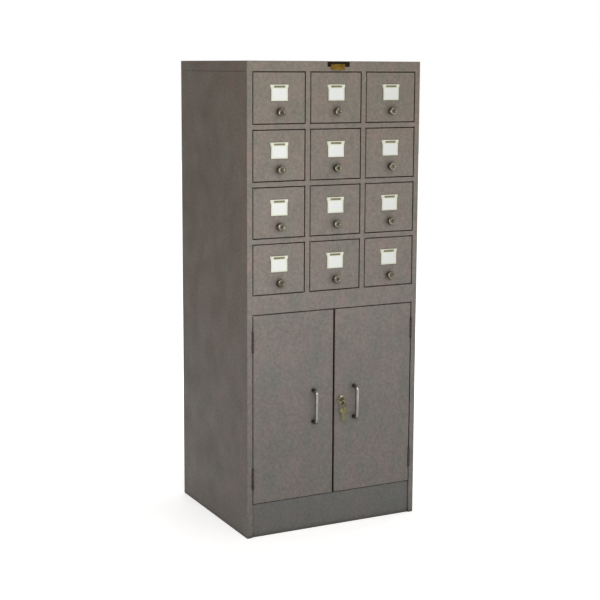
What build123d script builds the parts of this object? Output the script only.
from build123d import *

import os
from math import atan2, cos, pi, sin, tan

# A free-standing card index cabinet in folded sheet steel. X runs to the right, Y to the back, Z up.
# The origin is the middle of the footprint at floor level, the projecting handles included.

# The grid of drawers, in millimetres
columns = 3
rows = 4
drawer_opening_width = 160.0
drawer_opening_height = 142.0
stile = 16.0
divider = 14.0
rail = 13.0

# The bands of the front, from the floor up
plinth_height = 95.0
door_opening_height = 538.0
band_height = 39.0
cover_skirt = 28.0
depth = 465.0

# Carcass sheet and its folds
sheet = 1.0
corner_radius = 2.0
cover_chamfer = 1.2
frame_return = 20.0
stile_hem = 8.0
back_flange = 16.0
foot_flange = 20.0
cover_groove = 1.5
cover_hem = 9.0
plinth_setback = 4.0
plinth_side_gap = 0.5
floor_flange = 15.0
deck_upstand = 15.0
fold_gap = 1.0

# Drawers
gap = 2.5
drawer_travel = 350.0
drawer_length = 430.0
front_pan_depth = 12.0
front_chamfer = 1.0
drawer_sheet = 1.0
tray_half_width = 72.0
tray_lift = 4.0
tray_height = 96.0
tray_flange = 7.0
front_wall_height = 108.0
back_rake = 34.0
back_height = 88.0
slide_clearance = 0.3
stop_lug_width = 20.0
stop_lug_drop = 8.0
stop_clearance = 0.5

# Runners
runner_leg = 20.0
runner_side_gap = 1.0
runner_setback = 2.0
runner_rear_gap = 8.0

# Label holders and knobs, measured up from the lower edge of the drawer opening
label_foot = 63.0
label_height = 43.5
label_width = 49.0
label_top_width = 54.0
horn_height = 13.0
horn_tip = 4.0
label_plate = 0.8
label_rim = 2.6
label_lip = 3.6
label_proud = 2.2
card_slot = 0.6
card_thickness = 0.4
card_side_gap = 0.4
header_height = 10.5
header_recess = 0.4
strip_width = 34.0
strip_height = 6.5
strip_drop = 2.0
knob_rise = 33.0
knob_radius = 11.0
knob_reach = 17.3
knob_neck_radius = 5.0
knob_head = 5.3

# Doors
meeting_gap = 5.5
door_thickness = 20.0
door_lip = 14.0
stiffener_width = 60.0
stiffener_crown = 30.0
stiffener_depth = 15.0
stop_return = 20.3
stop_lip = 10.0

# Hinges
hinge_height = 60.0
hinge_inset = 73.0
knuckle_radius = 3.2
pin_radius = 1.5
pin_clearance = 0.05
pin_rise = 22.0
pin_end_gap = 2.0
knuckle_gap = 0.3
leaf_thickness = 1.0
leaf_depth = 16.0
notch_clearance = 0.4

# Handles
handle_offset = 65.0
handle_height = 359.0
handle_centres = 90.0
handle_standoff = 21.5
handle_bend = 10.0
bend_steps = 2
rod_radius = 4.5

# Lock, keys and bolt
lock_offset = 22.0
lock_height = 368.0
lock_flange_radius = 11.0
lock_flange = 2.5
lock_body_radius = 9.4
lock_hole_clearance = 0.2
lock_body_gap = 3.0
plug_radius = 5.4
plug_clearance = 0.1
plug_face = 0.5
cam_gap = 0.6
cam_thickness = 2.0
cam_length = 35.0
cam_half_width = 7.0
lip_notch_radius = 15.0
keyway_width = 2.2
keyway_height = 8.0
keyway_depth = 19.0
key_thickness = 2.0
key_clearance = 0.1
key_shoulder = 2.0
key_blade = 18.0
bow_width = 21.0
bow_length = 18.0
bow_chamfer = 5.5
bow_hole_radius = 3.2
bow_hole_offset = 4.0
ring_inner = 10.0
ring_outer = 12.0
ring_thickness = 1.6
ring_slack = 0.3
spare_slack = 1.4
spare_turn = 48.0
bolt_width = 6.0
bolt_length = 78.0
bolt_travel = 11.0
bolt_clearance = 0.3
bolt_stand = 5.0
bolt_drop = 3.0
bolt_guide_height = 40.0
bolt_guide_width = 12.0
bolt_guide_top = 30.0
bolt_ear = 1.5
bolt_thumb = 5.0
bolt_thumb_reach = 11.0

# Shelf
shelf_rise = 270.0
shelf_setback = 60.0
shelf_rear_gap = 3.0
shelf_skirt = 20.0
shelf_hem = 12.0
shelf_end_gap = 1.0
bracket_leg = 25.0
bracket_width = 20.0
bracket_end_gap = 2.0

# Worked out from the above
width = 2 * stile + columns * drawer_opening_width + (columns - 1) * divider
case_height = rows * drawer_opening_height + (rows - 1) * rail
band_foot = plinth_height + door_opening_height
case_floor = band_foot + band_height
case_top = case_floor + rail + case_height
height = case_top + cover_skirt
handle_reach = handle_standoff + rod_radius
left = -width / 2
right = width / 2
front = (handle_reach - depth) / 2
back = front + depth
frame_rear = front + frame_return
half_opening = width / 2 - stile
column_pitch = drawer_opening_width + divider
row_pitch = drawer_opening_height + rail
hinge_axis = half_opening - gap / 2
door_foot = plinth_height + gap
door_top = band_foot - gap
hinge_heights = [door_foot + hinge_inset, door_top - hinge_inset]
door_rear = front + door_thickness
shelf_top = plinth_height + shelf_rise
partition_places = [column_pitch * (c + 1 - columns / 2) for c in range(columns - 1)]


def column_centre(column):
    return (column - (columns - 1) / 2) * column_pitch


def opening_foot(row):
    """Lower edge of a drawer opening; row 0 is the top one."""
    return case_floor + rail + (rows - 1 - row) * row_pitch


def block(x, y, z):
    """A box between two values along each axis."""
    centre = Pos((x[0] + x[1]) / 2, (y[0] + y[1]) / 2, (z[0] + z[1]) / 2)
    return centre * Box(x[1] - x[0], y[1] - y[0], z[1] - z[0])


def rounded(points, radii):
    """Closed face through points, each corner rounded to its own radius, where 0 stays sharp."""
    edges = []
    starts = []
    ends = []
    for i, point in enumerate(points):
        corner = Vector(*point)
        before = (Vector(*points[i - 1]) - corner).normalized()
        after = (Vector(*points[(i + 1) % len(points)]) - corner).normalized()
        half = before.get_angle(after) * pi / 360
        if radii[i] <= 0:
            starts.append(corner)
            ends.append(corner)
            continue
        reach = radii[i] / tan(half)
        middle = corner + (before + after).normalized() * (radii[i] / sin(half) - radii[i])
        starts.append(corner + before * reach)
        ends.append(corner + after * reach)
        edges.append(ThreePointArc(starts[i], middle, ends[i]))
    for i in range(len(points)):
        edges.append(Line(ends[i - 1], starts[i]))
    return Face(Wire(edges))


def fold(path, thickness, radii):
    """Section of a folded sheet that lies on the left of path. radii are the outer radii of its folds."""
    points = [Vector(*p) for p in path]
    runs = [(b - a).normalized() for a, b in zip(points, points[1:])]
    normals = [Vector(-run.Y, run.X) for run in runs]
    near = [0.0]
    far = [0.0]
    offset = [points[0] + normals[0] * thickness]
    for i, radius in enumerate(radii):
        left_turn = runs[i].cross(runs[i + 1]).Z > 0
        inner = max(radius - thickness, 0)
        near.append(radius if left_turn else inner)
        far.append(inner if left_turn else radius)
        mitre = (normals[i] + normals[i + 1]).normalized()
        offset.append(points[i + 1] + mitre * (thickness / mitre.dot(normals[i])))
    near.append(0.0)
    far.append(0.0)
    offset.append(points[-1] + normals[-1] * thickness)
    outline = [(p.X, p.Y) for p in points + offset[::-1]]
    return rounded(outline, near + far[::-1])


def along_x(section, x):
    """Extrude a (Y, Z) section between two X values."""
    return extrude(Plane.YZ.offset(x[0]) * section, amount=x[1] - x[0])


def along_y(section, y):
    """Extrude an (X, Z) section between two Y values."""
    return extrude(Plane.XZ.offset(-y[1]) * section, amount=y[1] - y[0])


def along_z(section, z):
    """Extrude an (X, Y) section between two Z values."""
    return extrude(Plane.XY.offset(z[0]) * section, amount=z[1] - z[0])


def drum(axis, centre, radius, span):
    """A cylinder along Y or Z. centre holds the two other coordinates, span its ends."""
    length = span[1] - span[0]
    middle = (span[0] + span[1]) / 2
    if axis == "y":
        return Pos(centre[0], middle, centre[1]) * Rot(90, 0, 0) * Cylinder(radius, length)
    return Pos(centre[0], centre[1], middle) * Cylinder(radius, length)


def turned(profile, place):
    """Turn a (radius, reach) profile about an axis that points forward from place on the front plane."""
    face = Plane.XY * rounded([(r, -reach) for r, reach in profile], [0] * len(profile))
    return Pos(place[0], place[1], place[2]) * revolve(face, axis=Axis.Y)


def channel(y, z, reach):
    """Section of a channel whose web faces forward at y, between two heights."""
    path = [(y + reach, z[1]), (y, z[1]), (y, z[0]), (y + reach, z[0])]
    return fold(path, sheet, [0, 0])


def angle(wall, tip, z, leg):
    """Section of an angle: a flat top from the wall to its tip, with the leg down the wall."""
    path = [(wall, z - leg), (wall, z), (tip, z)]
    if wall < tip:
        path = path[::-1]
    return fold(path, sheet, [0])


def mirrored(shape):
    return mirror(shape, about=Plane.YZ)


def group(solids):
    return Compound(children=list(solids))


def side_panel():
    """The left side: skin, stile, return and hem in one sheet, joggled at the top for the cover."""
    path = [
        (left + back_flange, back),
        (left, back),
        (left, front),
        (left + stile, front),
        (left + stile, frame_rear),
        (left + stile - stile_hem, frame_rear),
    ]
    radii = [corner_radius, corner_radius, 0, 0]
    top = height - corner_radius
    panel = along_z(fold(path, sheet, radii), (0, top))
    seam = case_top - cover_groove
    panel -= block((left, left + sheet), (front, back), (seam, height))
    rear = back - 2 * sheet
    panel -= block((left, left + back_flange), (rear, back), (seam, height))
    inner = (left + sheet, left + 2 * sheet)
    panel += block(inner, (front + sheet, rear), (seam - sheet, top))
    foot_run = (frame_rear + plinth_setback + fold_gap, back - foot_flange - fold_gap)
    panel += block((left, left + foot_flange), foot_run, (0, sheet))
    for z in hinge_heights:
        panel -= knuckle_notch(-1, z)
    return panel


def knuckle_notch(side, z):
    """Room for a hinge barrel. side is -1 to cut the stile and 1 to cut the door, on the left."""
    reach = knuckle_radius + notch_clearance
    far = -hinge_axis + side * reach
    x = (min(far, -hinge_axis), max(far, -hinge_axis))
    half = hinge_height / 2 + notch_clearance
    return block(x, (front - reach, front + reach), (z - half, z + half))


def top_cover():
    """A pan with rounded edges. Its front skirt is folded back as the top rail of the drawer grid."""
    cover = block((left, right), (front, back), (case_top, height))
    cover = fillet(cover.edges().filter_by(Axis.Z), corner_radius)
    cover = chamfer(cover.edges().group_by(Axis.Z)[-1], cover_chamfer)
    inside = (left + sheet, right - sheet)
    cover -= block(inside, (front + sheet, back - sheet), (case_top, height - sheet))
    skirt_top = height - corner_radius
    cover -= block(inside, (front, front + sheet), (case_top, skirt_top))
    path = [
        (front, skirt_top),
        (front, case_top),
        (frame_rear, case_top),
        (frame_rear, case_top + cover_hem),
    ]
    skirt = fold(path, sheet, [0, 0])
    return cover + along_x(skirt, (-half_opening, half_opening))


def back_panel():
    path = [(back - foot_flange, 0), (back - sheet, 0), (back - sheet, height - sheet)]
    return along_x(fold(path, sheet, [0]), (left + 2 * sheet, right - 2 * sheet))


def drawer_rails():
    """Short channels between the uprights, one under each drawer opening."""
    solids = []
    for row in range(rows):
        z = opening_foot(row)
        section = channel(front, (z - rail, z), frame_return)
        for column in range(columns):
            x = column_centre(column)
            half = drawer_opening_width / 2
            solids.append(along_x(section, (x - half, x + half)))
    return group(solids)


def column_partitions():
    """Front dividers, and the sheets behind them that carry the runners."""
    solids = []
    for x in partition_places:
        path = [
            (x - divider / 2, frame_rear),
            (x - divider / 2, front),
            (x + divider / 2, front),
            (x + divider / 2, frame_rear),
        ]
        solids.append(along_z(fold(path, sheet, [0, 0]), (case_floor, case_top)))
        notch = frame_rear + fold_gap
        outline = [
            (front + sheet, case_floor),
            (back - 3 * sheet, case_floor),
            (back - 3 * sheet, case_floor + deck_upstand),
            (back - 2 * sheet, case_floor + deck_upstand),
            (back - 2 * sheet, height - sheet),
            (notch, height - sheet),
            (notch, case_top),
            (front + sheet, case_top),
        ]
        web = rounded(outline, [0] * len(outline))
        solids.append(along_x(web, (x - sheet / 2, x + sheet / 2)))
    return group(solids)


def runner_walls(column):
    """Where the sheets on both sides of a column stand."""
    centre = column_centre(column)
    near = [left + sheet] + [x + sheet / 2 for x in partition_places]
    far = [x - sheet / 2 for x in partition_places] + [right - sheet]
    tip = tray_half_width + runner_side_gap
    return [(near[column], centre - tip), (far[column], centre + tip)]


def drawer_runners():
    """An angle on each side of each drawer. The tray's side flanges slide on them."""
    run = (frame_rear + runner_setback, back - 2 * sheet - runner_rear_gap)
    solids = []
    for row in range(rows):
        z = opening_foot(row) + tray_lift + tray_height - drawer_sheet - slide_clearance
        for column in range(columns):
            for wall, tip in runner_walls(column):
                solids.append(along_y(angle(wall, tip, z, runner_leg), run))
    return group(solids)


def drawer_deck():
    """Floor of the drawer case. Its front folds down as the band, and back under it to a door stop."""
    lip_face = front + stop_return + sheet
    path = [
        (lip_face, band_foot - stop_lip),
        (lip_face, band_foot + sheet),
        (front + sheet, band_foot + sheet),
        (front + sheet, case_floor - sheet),
        (back - 2 * sheet, case_floor - sheet),
        (back - 2 * sheet, case_floor + deck_upstand),
    ]
    section = fold(path, sheet, [0, 0, 0, 0])
    deck = along_x(section, (-half_opening, half_opening))
    for x in ((left + sheet, -half_opening), (half_opening, right - sheet)):
        deck += block(x, (frame_rear, back - 2 * sheet), (case_floor - sheet, case_floor))
    return deck


def cupboard_floor():
    """An inverted pan, with its front edge over the plinth."""
    foot = plinth_height - floor_flange
    path = [
        (right - sheet, foot),
        (right - sheet, plinth_height),
        (left + sheet, plinth_height),
        (left + sheet, foot),
    ]
    rear = back - 2 * sheet
    pan = along_y(fold(path, sheet, [0, 0]), (frame_rear, rear))
    lip = (front + plinth_setback, frame_rear)
    pan += block((-half_opening, half_opening), lip, (plinth_height - sheet, plinth_height))
    pan += block((left + sheet, right - sheet), (rear - sheet, rear), (foot, plinth_height))
    return pan


def plinth_panel():
    section = channel(front + plinth_setback, (0, plinth_height - sheet), frame_return)
    half = half_opening - plinth_side_gap
    return along_x(section, (-half, half))


def cupboard_shelf():
    """A shelf with a hemmed front and a plain rear skirt. It drops over the brackets."""
    y = (front + shelf_setback, back - 2 * sheet - shelf_rear_gap)
    foot = shelf_top - shelf_skirt
    path = [(y[1], foot), (y[1], shelf_top), (y[0], shelf_top), (y[0], foot), (y[0] + shelf_hem, foot)]
    section = fold(path, sheet, [0, 0, 0])
    reach = width / 2 - sheet - shelf_end_gap
    return along_x(section, (-reach, reach))


def shelf_brackets():
    """Angles on the side skins, under the shelf and between its skirts."""
    start = front + shelf_setback + shelf_hem + bracket_end_gap
    end = back - 3 * sheet - shelf_rear_gap - bracket_end_gap
    wall = width / 2 - sheet
    section = angle(wall, wall - bracket_width, shelf_top - sheet, bracket_leg)
    bracket = along_y(section, (start, end))
    return group([bracket, mirrored(bracket)])


def door_pan():
    """The left door: a skin with four returns and inner lips, notched for its hinge barrels."""
    x = (gap - half_opening, -meeting_gap / 2)
    pan = block(x, (front, door_rear), (door_foot, door_top))
    pan = chamfer(pan.edges().group_by(Axis.Y)[0], front_chamfer)
    inner = (x[0] + sheet, x[1] - sheet)
    inner_z = (door_foot + sheet, door_top - sheet)
    pan -= block(inner, (front + sheet, door_rear - sheet), inner_z)
    window = (x[0] + door_lip, x[1] - door_lip)
    window_z = (door_foot + door_lip, door_top - door_lip)
    pan -= block(window, (door_rear - sheet, door_rear), window_z)
    for z in hinge_heights:
        pan -= knuckle_notch(1, z)
    return pan


def door_stiffener():
    """A hat section down the middle of the left door, against its skin."""
    centre = -(half_opening - gap + meeting_gap / 2) / 2
    brim = front + sheet
    crown = brim + stiffener_depth
    path = [
        (centre - stiffener_width / 2, brim),
        (centre - stiffener_crown / 2, brim),
        (centre - stiffener_crown / 2, crown),
        (centre + stiffener_crown / 2, crown),
        (centre + stiffener_crown / 2, brim),
        (centre + stiffener_width / 2, brim),
    ]
    section = fold(path, sheet, [0, 0, 0, 0])
    return along_z(section, (door_foot + sheet, door_top - sheet))


def bolt_place():
    """X and Y of the left door's bolt, behind the lip of its meeting edge."""
    return -(meeting_gap + door_lip) / 2, door_rear + bolt_stand


def bolt_guide():
    """A strap with two ears on the left door's lip, slotted for the bolt."""
    x, y = bolt_place()
    top = door_top - bolt_guide_top
    foot = top - bolt_guide_height
    reach = y + bolt_width / 2 + bolt_ear
    path = [(reach, foot), (door_rear, foot), (door_rear, top), (reach, top)]
    section = fold(path[::-1], sheet, [0, 0])
    guide = along_x(section, (x - bolt_guide_width / 2, x + bolt_guide_width / 2))
    half = bolt_width / 2 + bolt_clearance
    return guide - block((x - half, x + half), (y - half, y + half), (foot, top))


def left_door():
    return group([door_pan(), door_stiffener(), bolt_guide()])


def right_door():
    """The mirror of the left pan, bored for the lock."""
    place = (lock_offset, lock_height)
    pan = mirrored(door_pan())
    pan -= drum("y", place, lock_body_radius + lock_hole_clearance, (front, front + sheet))
    pan -= drum("y", place, lip_notch_radius, (door_rear - sheet, door_rear))
    return group([pan, mirrored(door_stiffener())])


def left_door_bolt():
    """A square bolt that rises behind the door stop, with a thumb tab between the guide's ears."""
    x, y = bolt_place()
    top = band_foot - stop_lip - bolt_drop
    side = bolt_width / 2
    rod = block((x - side, x + side), (y - side, y + side), (top - bolt_length, top))
    middle = door_top - bolt_guide_top - (bolt_guide_height + bolt_travel) / 2
    half = bolt_thumb / 2
    return rod + block((x - half, x + half), (y, y + bolt_thumb_reach), (middle - half, middle + half))


def hinge_leaf(plate, knuckle):
    """A leaf with one knuckle round the hinge axis on the left, at height 0. plate is its X span."""
    clear = front + knuckle_radius + notch_clearance
    leaf = block(plate, (clear, front + leaf_depth), (-hinge_height / 2, hinge_height / 2))
    leaf += block(plate, (front + pin_radius, clear), knuckle)
    return leaf + drum("z", (-hinge_axis, front), knuckle_radius, knuckle)


def frame_hinges():
    """Lower halves of four lift-off hinges, on the stiles' returns, each with its pin."""
    knuckle = (-hinge_height / 2, -knuckle_gap / 2)
    leaf = hinge_leaf((-half_opening, leaf_thickness - half_opening), knuckle)
    leaf += drum("z", (-hinge_axis, front), pin_radius, (-knuckle_gap, pin_rise))
    solids = [Pos(0, 0, z) * leaf for z in hinge_heights]
    return group(solids + [mirrored(s) for s in solids])


def left_door_hinges():
    """Upper halves of the left door's hinges, on its edge, bored for the pins."""
    edge = gap - half_opening
    leaf = hinge_leaf((edge - leaf_thickness, edge), (knuckle_gap / 2, hinge_height / 2))
    bore = (0, pin_rise + pin_end_gap)
    leaf -= drum("z", (-hinge_axis, front), pin_radius + pin_clearance, bore)
    return group([Pos(0, 0, z) * leaf for z in hinge_heights])


def door_handle(x):
    """A round rod, bent back at both ends to stand on the door. Each bend is made in straight steps."""
    half = handle_centres / 2
    bend_y = front - handle_standoff + handle_bend
    upper = [(front, half)]
    for step in range(bend_steps + 1):
        turn = step * pi / 2 / bend_steps
        upper.append((bend_y - handle_bend * sin(turn), half - handle_bend * (1 - cos(turn))))
    lower = [(y, -z) for y, z in upper[::-1]]
    points = [Vector(x, y, handle_height + z) for y, z in upper + lower]
    section = Plane(origin=points[0], z_dir=points[1] - points[0]) * Circle(rod_radius)
    return sweep(section, path=Polyline(*points), transition=Transition.RIGHT)


def lock_barrel():
    """A flanged barrel through the right door's skin, bored for the plug."""
    place = (lock_offset, lock_height)
    rear = door_rear - lock_body_gap
    barrel = drum("y", place, lock_flange_radius, (front - lock_flange, front))
    barrel += drum("y", place, lock_body_radius, (front, rear))
    return barrel - drum("y", place, plug_radius + plug_clearance, (front - lock_flange, rear))


def lock_cam():
    """The slotted plug, with its cam behind the door."""
    place = (lock_offset, lock_height)
    face = front - lock_flange - plug_face
    cam_face = door_rear + cam_gap
    plug = drum("y", place, plug_radius, (face, cam_face))
    slot_x = (lock_offset - keyway_width / 2, lock_offset + keyway_width / 2)
    slot_z = (lock_height - keyway_height / 2, lock_height + keyway_height / 2)
    plug -= block(slot_x, (face, face + keyway_depth), slot_z)
    arm_x = (lock_offset - cam_half_width, lock_offset + cam_half_width)
    arm_z = (lock_height - cam_length, lock_height + cam_half_width)
    return plug + block(arm_x, (cam_face, cam_face + cam_thickness), arm_z)


def key_plate(bow, hole, tip):
    """A flat key in the (Y, Z) plane: a bow with cut corners and a hole, and a blade out to tip."""
    reach = (tip - bow).length
    turn = atan2(tip.Y - bow.Y, tip.X - bow.X) * 180 / pi
    head = Rectangle(bow_length, bow_width)
    head = chamfer(head.vertices(), bow_chamfer)
    blade = Pos(reach / 2, 0) * Rectangle(reach, keyway_height - 2 * key_clearance)
    outline = Pos(bow.X, bow.Y) * Rot(0, 0, turn) * (head + blade)
    outline -= Pos(hole.X, hole.Y) * Circle(bow_hole_radius)
    half = key_thickness / 2
    return along_x(outline, (lock_offset - half, lock_offset + half))


def key_bow():
    """Centre of the inserted key's bow, and of its hole, as (Y, Z)."""
    bow_y = front - lock_flange - plug_face - key_shoulder - bow_length / 2
    return Vector(bow_y, lock_height), Vector(bow_y - bow_hole_offset, lock_height)


def lock_key():
    bow, hole = key_bow()
    tip = Vector(front - lock_flange - plug_face + key_blade, lock_height)
    return key_plate(bow, hole, tip)


def key_ring():
    """A flat ring through the inserted key's hole. The spare key hangs on it, turned towards the left."""
    hole = key_bow()[1]
    centre_z = hole.Y - bow_hole_radius - ring_inner + ring_slack
    y = (hole.X - ring_thickness / 2, hole.X + ring_thickness / 2)
    ring = drum("y", (lock_offset, centre_z), ring_outer, y)
    ring -= drum("y", (lock_offset, centre_z), ring_inner, y)
    spare_hole = Vector(hole.X, centre_z - ring_inner - bow_hole_radius + spare_slack)
    spare_bow = Vector(hole.X, spare_hole.Y - bow_hole_offset)
    tip = Vector(hole.X, spare_bow.Y - bow_length / 2 - key_shoulder - key_blade)
    hanger = Axis((lock_offset, hole.X, 0), (0, 0, 1))
    return group([ring, key_plate(spare_bow, spare_hole, tip).rotate(hanger, spare_turn)])


def drawer_front(x, z):
    """A folded pan, flush with the frame, with the tray's inner front wall across its back."""
    half = drawer_opening_width / 2 - gap
    span_z = (z + gap, z + drawer_opening_height - gap)
    rear = front + front_pan_depth
    pan = block((x - half, x + half), (front, rear), span_z)
    pan = chamfer(pan.edges().group_by(Axis.Y)[0], front_chamfer)
    inner = (x - half + drawer_sheet, x + half - drawer_sheet)
    inner_z = (span_z[0] + drawer_sheet, span_z[1] - drawer_sheet)
    pan -= block(inner, (front + drawer_sheet, rear), inner_z)
    wall_z = (span_z[0], span_z[0] + front_wall_height)
    return pan + block((x - half, x + half), (rear, rear + drawer_sheet), wall_z)


def drawer_tray(x, z):
    """Bottom, sides and side flanges in one section, closed at the rear by a raked back."""
    foot = z + tray_lift
    lip = foot + tray_height
    rear = front + drawer_length
    start = front + front_pan_depth + drawer_sheet
    far = tray_half_width + tray_flange
    side = tray_half_width
    path = [
        (x + far, lip),
        (x + side - drawer_sheet, lip),
        (x + side - drawer_sheet, foot + drawer_sheet),
        (x - side + drawer_sheet, foot + drawer_sheet),
        (x - side + drawer_sheet, lip),
        (x - far, lip),
    ]
    tray = along_y(fold(path, drawer_sheet, [0, 0, 0, 0]), (start, rear))
    slope = [(rear - back_rake, foot + drawer_sheet / 2), (rear, foot + back_height)]
    raked = fold(slope, drawer_sheet, [])
    return tray + along_x(raked, (x - side + drawer_sheet, x + side - drawer_sheet))


def stop_lug(x, z):
    """A tab lanced down from the tray's bottom. It meets the rail's rear edge at full travel."""
    foot = z + tray_lift
    face = frame_rear + drawer_travel + stop_clearance
    half = stop_lug_width / 2
    lug = block((x - half, x + half), (face, face + drawer_sheet), (foot - stop_lug_drop, foot))
    hole_y = (face + drawer_sheet, face + drawer_sheet + stop_lug_drop)
    hole = block((x - half, x + half), hole_y, (foot, foot + drawer_sheet))
    return lug, hole


def knob(x, z):
    """A turned knob: a neck and a flat head."""
    profile = [
        (0, 0),
        (knob_neck_radius, 0),
        (knob_neck_radius, knob_reach - knob_head),
        (knob_radius, knob_reach - knob_head),
        (knob_radius, knob_reach),
        (0, knob_reach),
    ]
    return turned(profile, (x, front, z + knob_rise))


def drawer(row, column):
    """The drawer and the knob fixed to its front, as two solids."""
    x = column_centre(column)
    z = opening_foot(row)
    lug, hole = stop_lug(x, z)
    body = drawer_front(x, z) + drawer_tray(x, z) + lug - hole
    return group([body, knob(x, z)])


def label_outline():
    """Half width and height of the holder's outline: straight sides that flare into horns at the top."""
    half = label_width / 2
    top_half = label_top_width / 2
    neck = label_height - horn_height
    shoulder = label_height - horn_tip
    return half, top_half, neck, shoulder


def label_holder(row, column):
    """A stamped plate with a folded rim on three sides, and the card in it."""
    x = column_centre(column)
    z = opening_foot(row) + label_foot
    half, top_half, neck, shoulder = label_outline()
    right_side = [(half, 0), (half, neck), (top_half, shoulder), (top_half, label_height)]
    outline = right_side + [(-u, v) for u, v in right_side[::-1]]
    place = [(x + u, z + v) for u, v in outline]
    plate = along_y(rounded(place, [0] * len(place)), (front - label_plate, front))
    window_top = z + label_height - header_height
    slot_y = (front - label_plate - card_slot, front - label_plate)
    lip_y = (front - label_proud, front - label_plate - card_slot)
    for rim, y in ((label_rim, slot_y), (label_lip, lip_y)):
        frame = block((x - half, x + half), y, (z, window_top))
        frame -= block((x - half + rim, x + half - rim), y, (z + rim, window_top))
        plate += frame
    header_x = (x - half, x + half)
    plate += block(header_x, (front - label_proud, front - label_plate), (window_top, z + label_height))
    strip_top = z + label_height - strip_drop
    strip_y = (front - label_proud, front - label_proud + header_recess)
    strip_x = (x - strip_width / 2, x + strip_width / 2)
    plate -= block(strip_x, strip_y, (strip_top - strip_height, strip_top))
    card_half = half - label_rim - card_side_gap
    card_y = (front - label_plate - card_thickness, front - label_plate)
    card = block((x - card_half, x + card_half), card_y, (z + label_rim, window_top))
    return group([plate, card])


nodes = {
    "left_side_panel": side_panel(),
    "right_side_panel": mirrored(side_panel()),
    "top_cover": top_cover(),
    "back_panel": back_panel(),
    "drawer_rails": drawer_rails(),
    "column_partitions": column_partitions(),
    "drawer_runners": drawer_runners(),
    "drawer_deck": drawer_deck(),
    "cupboard_floor": cupboard_floor(),
    "plinth_panel": plinth_panel(),
    "cupboard_shelf": cupboard_shelf(),
    "shelf_brackets": shelf_brackets(),
    "frame_hinges": frame_hinges(),
    "left_door": left_door(),
    "left_door_hinges": left_door_hinges(),
    "left_handle": door_handle(-handle_offset),
    "left_door_bolt": left_door_bolt(),
    "right_door": right_door(),
    "right_door_hinges": mirrored(left_door_hinges()),
    "right_handle": door_handle(handle_offset),
    "lock_barrel": lock_barrel(),
    "lock_cam": lock_cam(),
    "lock_key": lock_key(),
    "key_ring": key_ring(),
}
for r in range(rows):
    for c in range(columns):
        nodes[f"drawer_r{r + 1}c{c + 1}"] = drawer(r, c)
        nodes[f"label_holder_r{r + 1}c{c + 1}"] = label_holder(r, c)

os.makedirs("parts", exist_ok=True)
for name, shape in nodes.items():
    export_step(shape, f"parts/{name}.step")
print(len(nodes), "nodes,", width, "x", depth, "x", height, "mm")
